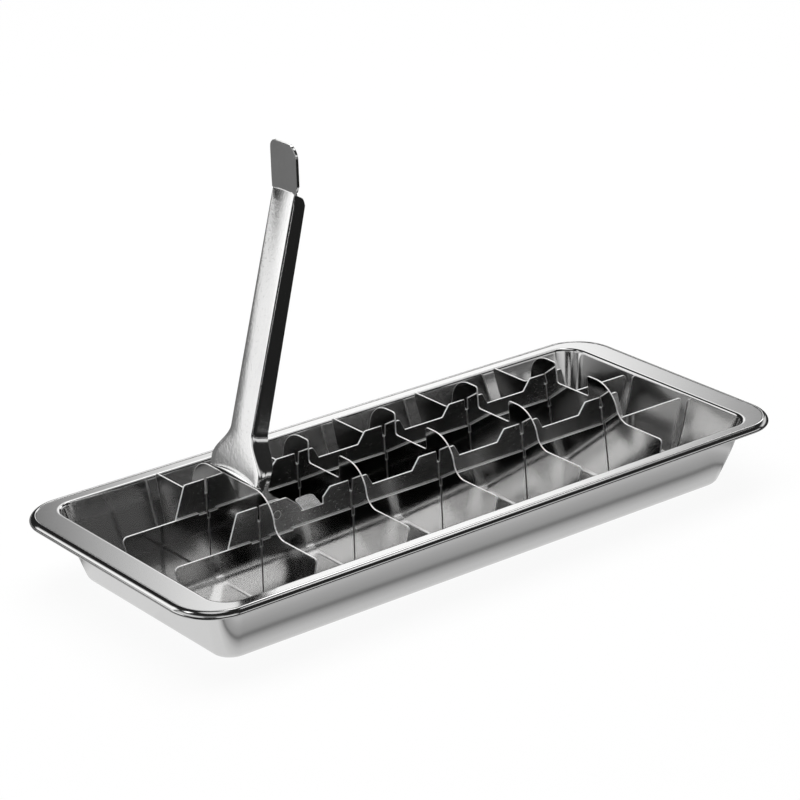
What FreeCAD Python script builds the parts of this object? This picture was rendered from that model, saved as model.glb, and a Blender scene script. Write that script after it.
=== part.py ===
import FreeCAD, Part
import math
import os
import re
import Sketcher

# Lever ice cube tray: a pressed steel pan, and in it a grid of thin plates that a lever rocks loose.
# Millimetres. Origin: centre of the pan's footprint, on the surface it stands on.
# X runs along the tray, from the lever's end (-X). Y runs across it, from the near side (-Y). Z is up.

doc = FreeCAD.newDocument("lever_ice_tray")

# Driving dimensions
DIMENSIONS = {
    "pan": {
        "pan_sheet": 0.8,
        "tray_height": 28.3,        # stand to the flat of the flange
        "opening_length": 260.5,    # inside, at the flange
        "opening_width": 108.6,
        "wall_corner": 8.0,         # inside radius of the upright corners
        "end_draft": 7.4,           # how far an end wall leans in, from flange to floor
        "side_draft": 8.6,          # the same for a long wall
        "floor_bend": 3.4,          # inside bend between floor and wall
        "flange_end": 13.5,         # flange's width at the ends, with its rolled edge
        "flange_side": 7.0,         # the same along the sides
        "flange_corner": 18.3,
        "curl_bend": 1.2,           # outer bend of the edge that is curled under the flange
        "curl_depth": 2.4,
        "curl_width": 2.2,
        "mouth_bend": 1.0,          # bend from flange into wall
    },
    "grid": {
        "plate_sheet": 0.7,         # long plates
        "bar_sheet": 0.7,           # slide bars
        "divider_sheet": 0.6,       # cross dividers
        "slide_gap": 0.16,          # running gap between a bar and its plate
        "lap_gap": 0.3,             # gap beside a plate or bar that passes through a divider
        "seat_gap": 0.4,            # gap over the floor of a cross-lap's slot
        "row_split": 33.2,          # between the two pairs of plate and bar
        "pitch": 42.55,             # from divider to divider
        "grid_shift": -0.2,         # middle divider from the pan's middle
    },
    "long plate": {
        "plate_drop": 1.0,          # its top edge below the flange
        "plate_gap_front": 6.0,     # gap to the mouth at the lever's end
        "plate_gap_back": 2.2,      # gap to the mouth at the other end
        "plate_corner": 1.8,
        "plate_heel": 6.0,          # radius of its lower corners
        "plate_slot_depth": 3.0,
        "plate_slot_width": 1.7,
        "relief_front": 4.4,        # shallow relief of the edge before the first divider
        "relief_back": 14.3,        # and behind it, under the lever
        "relief_depth": 0.7,
    },
    "slide bar": {
        "bar_top": 10.4,            # tops of the humps above the flange
        "bar_low": 5.7,             # edge between humps
        "bar_head": 11.7,           # top of the first hump
        "bar_valley": 4.4,          # deep edge after the first hump
        "bar_step": 7.0,            # top of the step at the far end of the deep edge
        "bar_skirt": 6.0,           # lower edge below the flange
        "bar_slot_floor": 5.8,      # floor of the slots above the flange
        "slot_pinch": 0.7,          # how much a wide slot narrows towards its floor
        "hump_foot_front": 13.5,    # a hump's outline, from its divider
        "hump_top_front": 10.1,
        "hump_top_back": 7.2,
        "hump_foot_back": 9.9,
        "head_front": 10.1,         # the first hump's outline, from its divider
        "head_back": 12.3,
        "head_shoulder": 17.3,
        "head_foot": 19.0,
        "shoulder_height": 7.6,
        "nose_slant": 6.0,          # lean of the bar's front end over its height
        "tail_back": 7.0,           # end of the bar, from the last divider
        "tail_slant": 5.0,
        "head_round": 2.0,
        "hump_round": 1.0,
        "lug_length": 6.0,          # finger lug bent out of the deep edge
        "lug_width": 8.4,
        "lug_setback": 0.9,         # from the foot of the first hump
        "lug_corner": 1.6,
        "lug_rise": 27.0,           # degrees
    },
    "cross divider": {
        "rock_depth": 2.0,          # rocking line below the flange
        "tab_top": 18.1,            # tabs above the flange
        "notch_floor": 8.8,         # edge between the tabs, where the folded lever lies
        "notch_half": 9.4,
        "notch_round": 1.2,
        "tab_flat": 14.5,           # half width over the flat of the tabs
        "tab_round": 11.2,          # outer shoulder of a tab
        "foot_round": 6.0,          # hollow between shoulder and outer edge
        "arm_top": 2.9,             # outer edge above the flange
        "wall_gap_top": 4.2,        # gap to the long wall, at the flange
        "wall_gap_floor": 2.6,      # the same at the floor
        "arm_corner": 1.4,
        "heel_corner": 5.0,
        "floor_gap": 0.5,
    },
    "lever": {
        "lever_sheet": 1.2,
        "lever_lean": 14.3,         # degrees from upright, as raised
        "pivot_back": 7.8,          # pivot behind the first divider
        "pivot_height": 6.0,        # pivot above the flange
        "web_offset": 10.0,         # pivot to the outer face of the web
        "heel_height": 9.8,         # pivot to the heel, along the lever
        "lip_height": 2.0,          # the heel's lip, curled outwards to bear on the first divider
        "lip_bend": 2.0,            # its inside radius
        "lip_flat": 0.8,
        "lip_angle": 25.0,          # degrees
        "channel_length": 107.0,    # heel to the end of the channel
        "channel_width": 12.7,
        "channel_depth": 7.2,       # at the flare
        "channel_depth_end": 5.4,   # at the finger tab
        "end_slant": 1.2,           # how much shorter the flange's free edge is
        "foot_length": 5.0,         # straight part of the wide foot, from the heel
        "flare_length": 14.0,
        "knee_depth": 7.6,          # deepest part of the flange, at the flare
        "knee_height": 12.0,
        "neck_depth": 4.5,          # flange beside the heel, from above it to below it
        "neck_height": 4.5,
        "neck_drop": 0.5,
        "ear_shoulder_depth": 8.2,  # where the ear widens below the heel
        "ear_shoulder_drop": 3.2,
        "ear_round": 5.8,
        "ear_gap": 0.15,            # between ear and bar
        "rivet_radius": 1.6,
        "rivet_play": 0.06,         # running clearance in the ear
        "rivet_head_radius": 3.0,
        "rivet_head": 0.9,
        "rivet_bevel": 0.35,
        "head_gap": 0.1,
        "finger_length": 17.5,
        "finger_bend": 20.0,        # degrees
        "finger_corner": 4.0,
        "bend_radius": 1.5,         # inside of the finger tab's bend
    },
    "lean of each divider to the front, lever raised (degrees)": {
        "lean_1_angle": 0.6,
        "lean_2_angle": 1.2,
        "lean_3_angle": 2.6,
        "lean_4_angle": 5.0,
        "lean_5_angle": 8.2,
    },
    "mouth of each slot of a slide bar": {
        "bar_slot_1": 1.7,
        "bar_slot_2": 3.1,
        "bar_slot_3": 3.1,
        "bar_slot_4": 3.1,
        "bar_slot_5": 1.7,
    },
}
DIVIDERS = range(1, 6)
NAMES = {name for cells in DIMENSIONS.values() for name in cells}
NEAR = 0.05                         # how close a picked edge lies to its place

sizes = doc.addObject("Spreadsheet::Sheet", "Sizes")
row = 1
for group, cells in DIMENSIONS.items():
    sizes.set("A%d" % row, group)
    for name, number in cells.items():
        row += 1
        sizes.set("A%d" % row, name.replace("_", " "))
        sizes.set("B%d" % row, str(number))
        sizes.setAlias("B%d" % row, name)
    row += 1
doc.recompute()

# Lengths that follow from the driving ones, as the text of the expressions that use them
END_SLOPE = "(end_draft / (tray_height - pan_sheet))"
MOUTH_X = "(opening_length / 2)"
MOUTH_Y = "(opening_width / 2)"
ROCK_LINE = "(tray_height - rock_depth)"
PLATE_Y = "(-(slide_gap + plate_sheet) / 2)"
BAR_Y = "((slide_gap + bar_sheet) / 2)"
PIVOT_X = "(grid_shift - 2 * pitch + pivot_back)"
PIVOT_Z = "(tray_height + pivot_height)"
LEVER_Y = "((slide_gap + bar_sheet) / 2)"


def divider_x(i):
    """Where divider i's rocking line crosses the tray."""
    return "(grid_shift + (%d) * pitch)" % (i - 3)


def bound(text):
    """The same text, with each named size bound to its cell."""
    return re.sub(r"[a-z]\w*", lambda m: "Sizes." + m.group() if m.group() in NAMES else m.group(), text)


def now(text):
    """The number that a text comes to."""
    return float(sizes.evalExpression(bound(text)))


def new_body(label, **place):
    """A body with its label, placed at the given coordinates."""
    body = doc.addObject("PartDesign::Body", label)
    body.Label = label
    for axis, text in place.items():
        body.setExpression("Placement.Base." + axis, bound(text))
    return body


def turn(body, axis, angle):
    """Turns a body about an axis through its own origin."""
    body.Placement.Rotation = FreeCAD.Rotation(axis, now(angle))
    body.setExpression("Placement.Rotation.Angle", bound(angle))


def new_sketch(body, name, plane, offset="0"):
    """A sketch on one of the body's own origin planes, or beside it."""
    sketch = body.newObject("Sketcher::SketchObject", body.Name + "_" + name)
    support = next(f for f in body.Origin.OriginFeatures if f.Role == plane)
    sketch.AttachmentSupport = (support, [""])
    sketch.MapMode = "FlatFace"
    sketch.setExpression("AttachmentOffset.Base.z", bound(offset))
    return sketch


def draw(sketch, points):
    """A closed outline through points (across, up). A third entry is the radius of an arc
    to the next point, which turns left, or right where it is negative."""
    spots = [FreeCAD.Vector(now(point[0]), now(point[1]), 0) for point in points]
    first = sketch.GeometryCount
    shapes = []
    ends = []
    for k, point in enumerate(points):
        start = spots[k]
        end = spots[(k + 1) % len(spots)]
        if len(point) == 2:
            shapes.append(Part.LineSegment(start, end))
            ends.append((1, 2))
            continue
        radius = now(point[2])
        chord = end - start
        side = FreeCAD.Vector(-chord.y, chord.x, 0).normalize() * math.copysign(1, radius)
        centre = (start + end) / 2 + side * math.sqrt(max(radius ** 2 - (chord.Length / 2) ** 2, 0))
        angles = [math.atan2(spot.y - centre.y, spot.x - centre.x) for spot in (start, end)]
        if radius < 0:
            angles.reverse()
        circle = Part.Circle(centre, FreeCAD.Vector(0, 0, 1), abs(radius))
        shapes.append(Part.ArcOfCircle(circle, angles[0], angles[1]))
        ends.append((1, 2) if radius > 0 else (2, 1))
    sketch.addGeometry(shapes, False)
    limits = []
    texts = []
    for k, point in enumerate(points):
        before = k - 1 if k else len(points) - 1
        last = (first + before, ends[before][1])
        limits.append(Sketcher.Constraint("Coincident", *last, first + k, ends[k][0]))
        limits.append(Sketcher.Constraint("DistanceX", first + k, ends[k][0], spots[k].x))
        limits.append(Sketcher.Constraint("DistanceY", first + k, ends[k][0], spots[k].y))
        texts += [None, point[0], point[1]]
        if len(point) == 3:
            limits.append(Sketcher.Constraint("Radius", first + k, abs(now(point[2]))))
            texts.append("abs(" + point[2] + ")")
    count = sketch.ConstraintCount
    sketch.addConstraint(limits)
    for k, text in enumerate(texts):
        if text:
            sketch.setExpression("Constraints[%d]" % (count + k), bound(text))


def draw_circle(sketch, across, up, radius):
    """A circle with its centre and radius bound to sizes."""
    centre = FreeCAD.Vector(now(across), now(up), 0)
    edge = sketch.addGeometry(Part.Circle(centre, FreeCAD.Vector(0, 0, 1), now(radius)), False)
    count = sketch.ConstraintCount
    sketch.addConstraint([
        Sketcher.Constraint("DistanceX", edge, 3, centre.x),
        Sketcher.Constraint("DistanceY", edge, 3, centre.y),
        Sketcher.Constraint("Radius", edge, now(radius)),
    ])
    for k, text in enumerate((across, up, radius)):
        sketch.setExpression("Constraints[%d]" % (count + k), bound(text))


def rectangle(half_length, half_width):
    """The outline of a rectangle about the origin."""
    return [("-" + half_length, "-" + half_width), (half_length, "-" + half_width),
            (half_length, half_width), ("-" + half_length, half_width)]


def rounded_rectangle(half_length, half_width, radius):
    """The outline of a rectangle about the origin, with round corners."""
    flat_x = "(%s - %s)" % (half_length, radius)
    flat_y = "(%s - %s)" % (half_width, radius)
    return [
        ("-" + flat_x, "-" + half_width), (flat_x, "-" + half_width, radius),
        (half_length, "-" + flat_y), (half_length, flat_y, radius),
        (flat_x, half_width), ("-" + flat_x, half_width, radius),
        ("-" + half_length, flat_y), ("-" + half_length, "-" + flat_y, radius),
    ]


def extrude(kind, body, sketch, length, both_sides=False, back=False):
    """A pad or a pocket of a sketch. A pocket has to remove something."""
    before = body.Tip.Shape.Volume if body.Tip else 0
    feature = body.newObject("PartDesign::" + kind, sketch.Name + "_" + kind.lower())
    feature.Profile = sketch
    feature.SideType = "Symmetric" if both_sides else "One side"
    feature.Reversed = back
    feature.setExpression("Length", bound(length))
    doc.recompute()
    change = feature.Shape.Volume - before
    if (change > 0) != (kind == "Pad"):
        raise RuntimeError(feature.Name + " changes nothing")
    return feature


def blend(body, radius, wanted, name):
    """Rounds the edges of the last feature that the test picks."""
    base = body.Tip
    edges = ["Edge%d" % (k + 1) for k, edge in enumerate(base.Shape.Edges) if wanted(edge)]
    fillet = body.newObject("PartDesign::Fillet", body.Name + "_" + name)
    fillet.Base = (base, edges)
    fillet.setExpression("Radius", bound(radius))
    doc.recompute()
    return fillet


def round_corners(body, radius, corners, through, name):
    """Rounds a sheet's corners. Each corner is (across, up) on its outline."""
    across = "y" if through == "x" else "x"
    spots = [(now(corner[0]), now(corner[1])) for corner in corners]

    def wanted(edge):
        ends = [vertex.Point for vertex in edge.Vertexes]
        if len(ends) < 2:
            return False
        run = ends[1] - ends[0]
        along = abs(getattr(run, through))
        middle = (ends[0] + ends[1]) / 2
        near = [math.hypot(getattr(middle, across) - spot[0], middle.z - spot[1]) < NEAR for spot in spots]
        return abs(along - run.Length) < NEAR and any(near)

    return blend(body, radius, wanted, name)


def level(edge, height):
    """Whether an edge lies at one height."""
    box = edge.BoundBox
    return abs(box.ZMin - height) < NEAR and abs(box.ZMax - height) < NEAR


# Pan: a deep-drawn shell with leaning walls. Its flange ends in an edge that is curled under.
pan = new_body("tray_pan")
FLANGE_X = "(%s + flange_end)" % MOUTH_X
FLANGE_Y = "(%s + flange_side)" % MOUTH_Y
FULL_DRAFT = "(tray_height / (tray_height - pan_sheet))"
BLOCK_X = "(%s - end_draft * %s)" % (MOUTH_X, FULL_DRAFT)
BLOCK_Y = "(%s - side_draft * %s)" % (MOUTH_Y, FULL_DRAFT)


def lean_walls(body, name, half_length, half_width, hollow=False):
    """Leans the upright faces of a block, or of a pocket, out from their outline at the stand."""
    for side, axis, place, run in (("ends", "x", half_length, "end_draft"),
                                   ("sides", "y", half_width, "side_draft")):
        base = body.Tip
        picked = []
        for k, face in enumerate(base.Shape.Faces):
            centre = face.CenterOfMass
            upright = abs(face.normalAt(0, 0).z) < NEAR
            if upright and abs(abs(getattr(centre, axis)) - now(place)) < NEAR:
                picked.append("Face%d" % (k + 1))
        draft = body.newObject("PartDesign::Draft", body.Name + "_" + name + "_" + side)
        draft.Base = (base, picked)
        draft.NeutralPlane = (next(f for f in body.Origin.OriginFeatures if f.Role == "XY_Plane"), [""])
        draft.setExpression("Angle", bound("atan(%s / (tray_height - pan_sheet))" % run))
        draft.Reversed = not hollow
        doc.recompute()


def upright_corner(half_length, half_width):
    """A test that picks the leaning edges at the corners of a block or a pocket."""
    def wanted(edge):
        low = min((vertex.Point for vertex in edge.Vertexes), key=lambda point: point.z)
        gaps = (now(half_length) - abs(low.x), now(half_width) - abs(low.y))
        close = max(abs(gap) for gap in gaps) < now("pan_sheet / 2")
        return close and edge.BoundBox.ZLength > now("tray_height / 2")
    return wanted


outside = new_sketch(pan, "outside", "XY_Plane")
draw(outside, rectangle("(%s + pan_sheet)" % BLOCK_X, "(%s + pan_sheet)" % BLOCK_Y))
extrude("Pad", pan, outside, "tray_height")
lean_walls(pan, "outside", "(%s + pan_sheet)" % BLOCK_X, "(%s + pan_sheet)" % BLOCK_Y)
flange = new_sketch(pan, "flange", "XY_Plane", "tray_height")
draw(flange, rounded_rectangle(FLANGE_X, FLANGE_Y, "flange_corner"))
extrude("Pad", pan, flange, "pan_sheet", back=True)
inside = new_sketch(pan, "inside", "XY_Plane", "tray_height")
draw(inside, rectangle(BLOCK_X, BLOCK_Y))
extrude("Pocket", pan, inside, "tray_height - pan_sheet")
lean_walls(pan, "inside", BLOCK_X, BLOCK_Y, hollow=True)
blend(pan, "wall_corner", upright_corner(BLOCK_X, BLOCK_Y), "inside_corners")
corner = upright_corner("(%s + pan_sheet)" % BLOCK_X, "(%s + pan_sheet)" % BLOCK_Y)
blend(pan, "wall_corner + pan_sheet", corner, "outside_corners")
blend(pan, "floor_bend", lambda edge: level(edge, now("pan_sheet")), "floor_bend")
blend(pan, "floor_bend + pan_sheet", lambda edge: level(edge, 0), "foot_bend")

curl = new_sketch(pan, "curl", "XY_Plane", "tray_height")
draw(curl, rounded_rectangle(FLANGE_X, FLANGE_Y, "flange_corner"))
draw(curl, rounded_rectangle("(%s - curl_width)" % FLANGE_X, "(%s - curl_width)" % FLANGE_Y,
                             "(flange_corner - curl_width)"))
extrude("Pad", pan, curl, "curl_depth", back=True)


def at_rim(edge):
    """Whether an edge runs round the flange's upper outer edge."""
    box = edge.BoundBox
    reach = max(abs(box.XMin), abs(box.XMax)) > now(FLANGE_X) - NEAR
    aside = max(abs(box.YMin), abs(box.YMax)) > now(FLANGE_Y) - NEAR
    return level(edge, now("tray_height")) and (reach or aside)


blend(pan, "curl_bend", at_rim, "curl_bend")


def at_mouth(edge):
    """Whether an edge runs round the mouth."""
    box = edge.BoundBox
    within = max(abs(box.XMin), abs(box.XMax)) < now(MOUTH_X) + NEAR
    return level(edge, now("tray_height")) and within


blend(pan, "mouth_bend", at_mouth, "mouth_bend")

# Long plates: they stand on the pan's floor and part the three rows. The dividers hang in their slots.
PLATE_TOP = "(tray_height - plate_drop)"
for side, row_y in (("near", "-row_split / 2"), ("far", "row_split / 2")):
    plate = new_body("long_plate_" + side, y="%s + %s" % (row_y, PLATE_Y))
    front = "(-%s + plate_gap_front)" % MOUTH_X
    back = "(%s - plate_gap_back)" % MOUTH_X
    lean = "(%s * (tray_height - plate_drop - pan_sheet))" % END_SLOPE
    relief_z = "(%s - relief_depth)" % PLATE_TOP
    outline = new_sketch(plate, "outline", "XZ_Plane")
    top_front = (front, PLATE_TOP)
    top_back = (back, PLATE_TOP)
    low_back = ("%s - %s" % (back, lean), "pan_sheet")
    low_front = ("%s + %s" % (front, lean), "pan_sheet")
    relief_start = divider_x(1) + " - relief_front"
    relief_end = divider_x(1) + " + relief_back"
    draw(outline, [
        low_front, low_back, top_back,
        (relief_end, PLATE_TOP), (relief_end, relief_z),
        (relief_start, relief_z), (relief_start, PLATE_TOP),
        top_front,
    ])
    extrude("Pad", plate, outline, "plate_sheet", both_sides=True)
    slots = new_sketch(plate, "slots", "XZ_Plane")
    for i in DIVIDERS:
        left = divider_x(i) + " - plate_slot_width / 2"
        right = divider_x(i) + " + plate_slot_width / 2"
        floor = PLATE_TOP + " - plate_slot_depth"
        mouth = PLATE_TOP + " + plate_drop"
        draw(slots, [(left, floor), (right, floor), (right, mouth), (left, mouth)])
    extrude("Pocket", plate, slots, "row_split", both_sides=True)
    round_corners(plate, "plate_corner", [top_front, top_back], "y", "corners")
    round_corners(plate, "plate_heel", [low_front, low_back], "y", "heels")

# Slide bars: one stamping, used twice. A hump round each divider carries the slot that pushes it,
# and a lug is bent out of the deep edge behind the first hump.
BAR_FLOOR = "(tray_height - bar_skirt)"
for side, row_y in (("near", "-row_split / 2"), ("far", "row_split / 2")):
    bar = new_body("slide_bar_" + side, y="%s + %s" % (row_y, BAR_Y))
    first = divider_x(1)
    last = divider_x(5)
    step_x = divider_x(2) + " - hump_foot_front"
    edge = [
        (first + " - head_front - nose_slant", BAR_FLOOR),
        (last + " + tail_back + tail_slant", BAR_FLOOR),
        (last + " + tail_back", "tray_height + bar_top"),
        (last + " - hump_top_front", "tray_height + bar_top"),
        (last + " - hump_foot_front", "tray_height + bar_low"),
    ]
    for i in (4, 3, 2):
        edge += [
            (divider_x(i) + " + hump_foot_back", "tray_height + bar_low"),
            (divider_x(i) + " + hump_top_back", "tray_height + bar_top"),
            (divider_x(i) + " - hump_top_front", "tray_height + bar_top"),
            (divider_x(i) + " - hump_foot_front", "tray_height + bar_low"),
        ]
    edge[-1] = (step_x, "tray_height + bar_step")
    edge += [
        (step_x, "tray_height + bar_valley"),
        (first + " + head_foot", "tray_height + bar_valley"),
        (first + " + head_shoulder", "tray_height + shoulder_height"),
        (first + " + head_back", "tray_height + bar_head"),
        (first + " - head_front", "tray_height + bar_head"),
    ]
    outline = new_sketch(bar, "outline", "XZ_Plane")
    draw(outline, edge)
    extrude("Pad", bar, outline, "bar_sheet", both_sides=True)
    humps = [spot for spot in edge if spot[1] == "tray_height + bar_top"]
    round_corners(bar, "hump_round", humps + edge[-1:], "y", "humps")
    round_corners(bar, "head_round", edge[-2:-1], "y", "head")
    slots = new_sketch(bar, "slots", "XZ_Plane")
    for i in DIVIDERS:
        lean = "((bar_slot_floor + bar_top) / 2 + rock_depth) * tan(lean_%d_angle)" % i
        middle = "(%s - %s)" % (divider_x(i), lean)
        left = "%s - bar_slot_%d / 2" % (middle, i)
        right = "%s + bar_slot_%d / 2" % (middle, i)
        pinch = " + slot_pinch" if i in (2, 3, 4) else ""
        floor = "tray_height + bar_slot_floor"
        mouth = "tray_height + bar_head + bar_sheet"
        draw(slots, [(left + pinch, floor), (right, floor), (right, mouth), (left, mouth)])
    extrude("Pocket", bar, slots, "row_split", both_sides=True)
    hole = new_sketch(bar, "rivet_hole", "XZ_Plane")
    draw_circle(hole, PIVOT_X, PIVOT_Z, "rivet_radius")
    extrude("Pocket", bar, hole, "row_split", both_sides=True)
    lug = new_sketch(bar, "lug", "YZ_Plane", first + " + head_foot + lug_setback")
    root_z = "(tray_height + bar_valley - bar_sheet)"
    draw(lug, [
        ("-bar_sheet / 2", root_z),
        ("bar_sheet / 2", root_z),
        ("bar_sheet / 2 + lug_length * cos(lug_rise)", root_z + " + lug_length * sin(lug_rise)"),
        ("bar_sheet / 2 + lug_length * cos(lug_rise) - bar_sheet * sin(lug_rise)",
         root_z + " + lug_length * sin(lug_rise) + bar_sheet * cos(lug_rise)"),
        ("-bar_sheet / 2", root_z + " + bar_sheet"),
    ])
    extrude("Pad", bar, lug, "lug_width")
    lug_edge = bar.Placement.Base.y + now("lug_length * cos(lug_rise)") - now("bar_sheet")


    def at_lug(edge):
        """Whether an edge is a corner of the lug."""
        box = edge.BoundBox
        return box.YMin + bar.Placement.Base.y > lug_edge and box.XLength < NEAR


    blend(bar, "lug_corner", at_lug, "lug_corners")

# Cross dividers: each is lapped over both plates and both bars, and rocks on a line in the plates' slots.
# Their sketches are drawn from that line.
for i in DIVIDERS:
    divider = new_body("cross_divider_%d" % i, x=divider_x(i), z=ROCK_LINE)
    foot = "(-%s + pan_sheet + floor_gap)" % ROCK_LINE
    half_flange = "(%s - wall_gap_top)" % MOUTH_Y
    half_floor = "(%s - side_draft - wall_gap_floor)" % MOUTH_Y
    end_slope = "((%s - %s) / (tray_height - pan_sheet))" % (half_flange, half_floor)
    half_top = "(%s + %s * arm_top)" % (half_flange, end_slope)
    half_foot = "(%s + %s * floor_gap)" % (half_floor, end_slope)
    arm_z = "(rock_depth + arm_top)"
    tab_z = "(rock_depth + tab_top)"
    notch_z = "(rock_depth + notch_floor)"
    swing = "(1 - (tab_top - arm_top) / (tab_round + foot_round))"
    swing_sine = "sqrt(1 - %s * %s)" % (swing, swing)
    turn_y = "(tab_flat + tab_round * %s)" % swing_sine
    turn_z = "(%s - tab_round * (1 - %s))" % (tab_z, swing)
    arm_y = "(tab_flat + (tab_round + foot_round) * %s)" % swing_sine
    right = [(half_foot, foot), (half_top, arm_z), (arm_y, arm_z, "-foot_round"),
             (turn_y, turn_z, "tab_round"), ("tab_flat", tab_z)]
    left = [("-tab_flat", tab_z, "tab_round"), ("-" + turn_y, turn_z, "-foot_round"),
            ("-" + arm_y, arm_z), ("-" + half_top, arm_z), ("-" + half_foot, foot)]
    notch = [("notch_half", tab_z), ("notch_half", notch_z),
             ("-notch_half", notch_z), ("-notch_half", tab_z)]
    laps = []
    for row_y in ("-row_split / 2", "row_split / 2"):
        plate_out = "%s - slide_gap / 2 - plate_sheet - lap_gap" % row_y
        bar_in = "%s + slide_gap / 2 - lap_gap" % row_y
        bar_out = "%s + slide_gap / 2 + bar_sheet + lap_gap" % row_y
        plate_z = "rock_depth - plate_drop - plate_slot_depth + seat_gap"
        bar_z = "rock_depth + bar_slot_floor + seat_gap"
        laps += [(plate_out, foot), (plate_out, plate_z), (bar_in, plate_z), (bar_in, bar_z),
                 (bar_out, bar_z), (bar_out, foot)]
    outline = new_sketch(divider, "outline", "YZ_Plane")
    draw(outline, laps + right + (notch if i > 1 else []) + left)
    extrude("Pad", divider, outline, "divider_sheet", both_sides=True)
    arms = [(half_top, arm_z), ("-" + half_top, arm_z)]
    round_corners(divider, "arm_corner", arms, "x", "arms")
    heels = [(half_foot, foot), ("-" + half_foot, foot)]
    round_corners(divider, "heel_corner", heels, "x", "heels")
    if i > 1:
        round_corners(divider, "notch_round", notch, "x", "notch")
    turn(divider, FreeCAD.Vector(0, -1, 0), "lean_%d_angle" % i)

# Lever: one channel, folded from sheet. Its foot flares into two ears that hang on the bars' rivets.
# The body's origin is the pivot, and its own Z runs along the lever.
lever = new_body("lever", x=PIVOT_X, y=LEVER_Y, z=PIVOT_Z)
WEB_X = "(-web_offset)"
FOOT_HALF = "((row_split - bar_sheet) / 2 - ear_gap)"
TOP_HALF = "(channel_width / 2)"
FOOT_END = "(heel_height + foot_length)"
FLARE_END = "(heel_height + foot_length + flare_length)"
LEVER_END = "(heel_height + channel_length)"
LIP_TOP = "(heel_height + lip_height)"
FLARE_STEP = "(%s - %s)" % (FOOT_HALF, TOP_HALF)
FLARE_ROUND = "((flare_length * flare_length + %s * %s) / (4 * %s))" % (FLARE_STEP, FLARE_STEP, FLARE_STEP)


def channel_outline(inset, low, high):
    """The lever seen square to its web, between two heights, drawn in by a wall.
    The flare is two equal arcs, one each way."""
    foot = "(%s - %s)" % (FOOT_HALF, inset)
    top = "(%s - %s)" % (TOP_HALF, inset)
    outside = "(%s - %s)" % (FLARE_ROUND, inset)
    inside = "(%s + %s)" % (FLARE_ROUND, inset)
    share = "(%s / (2 * %s))" % (outside, FLARE_ROUND)
    middle_y = "(%s - %s + (2 * %s - %s) * %s)" % (FOOT_HALF, FLARE_ROUND, FLARE_ROUND, FLARE_STEP, share)
    middle_z = "(%s + flare_length * %s)" % (FOOT_END, share)
    return [
        (foot, low), (foot, FOOT_END, outside), (middle_y, middle_z, "-" + inside), (top, FLARE_END),
        (top, high), ("-" + top, high), ("-" + top, FLARE_END, "-" + inside),
        ("-" + middle_y, middle_z, outside), ("-" + foot, FOOT_END), ("-" + foot, low),
    ]


def tangent(across, up, radius, sign, other):
    """Where a line from a point touches a circle about the origin, on one side or the other."""
    square = "(%s * %s + %s * %s)" % (across, across, up, up)
    run = "sqrt(%s - %s * %s)" % (square, radius, radius)
    return (
        "(%s * (%s * %s %s %s * %s) / %s)" % (radius, radius, across, sign, run, up, square),
        "(%s * (%s * %s %s %s * %s) / %s)" % (radius, radius, up, other, run, across, square),
    )


blank = new_sketch(lever, "blank", "YZ_Plane", WEB_X)
draw(blank, channel_outline("0", "(-ear_round)", LEVER_END))
extrude("Pad", lever, blank, "web_offset + ear_round")


def at_bend(edge):
    """Whether an edge runs along the folds between web and flanges."""
    box = edge.BoundBox
    on_web = max(abs(box.XMin - now(WEB_X)), abs(box.XMax - now(WEB_X))) < NEAR
    return on_web and box.ZLength > NEAR


blend(lever, "lever_sheet", at_bend, "folds")
inside = new_sketch(lever, "inside", "YZ_Plane", WEB_X + " + lever_sheet")
draw(inside, channel_outline("lever_sheet", "(-web_offset)", LEVER_END + " + lever_sheet"))
extrude("Pocket", lever, inside, LEVER_END, back=True)
below_heel = new_sketch(lever, "below_heel", "YZ_Plane", WEB_X + " - lever_sheet")
half_heel = "(%s - lever_sheet)" % FOOT_HALF
draw(below_heel, [("-" + half_heel, "-web_offset"), (half_heel, "-web_offset"), (half_heel, LIP_TOP),
                  ("-" + half_heel, LIP_TOP)])
extrude("Pocket", lever, below_heel, LEVER_END, back=True)

shoulder = ("(ear_shoulder_depth - web_offset)", "(heel_height - ear_shoulder_drop)")
side_view = [
    tangent(WEB_X, "heel_height", "ear_round", "-", "+") + ("ear_round",),
    ("0", "-ear_round", "ear_round"),
    tangent(shoulder[0], shoulder[1], "ear_round", "+", "-"),
    shoulder,
    ("neck_depth - web_offset", "heel_height - neck_drop"),
    ("neck_depth - web_offset", "heel_height + neck_height"),
    ("knee_depth - web_offset", "heel_height + knee_height"),
    ("channel_depth - web_offset", FLARE_END),
    ("channel_depth_end - web_offset", LEVER_END + " - end_slant"),
    (WEB_X + " + lever_sheet", LEVER_END),
    (WEB_X, LEVER_END),
    (WEB_X, "heel_height"),
]
beyond = "(%s + web_offset)" % LEVER_END
side_cut = new_sketch(lever, "side_cut", "XZ_Plane")
draw(side_cut, rectangle(beyond, beyond))
draw(side_cut, side_view)
extrude("Pocket", lever, side_cut, LEVER_END, both_sides=True)
ear_holes = new_sketch(lever, "ear_holes", "XZ_Plane")
draw_circle(ear_holes, "0", "0", "rivet_radius + rivet_play")
extrude("Pocket", lever, ear_holes, "row_split", both_sides=True)

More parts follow.
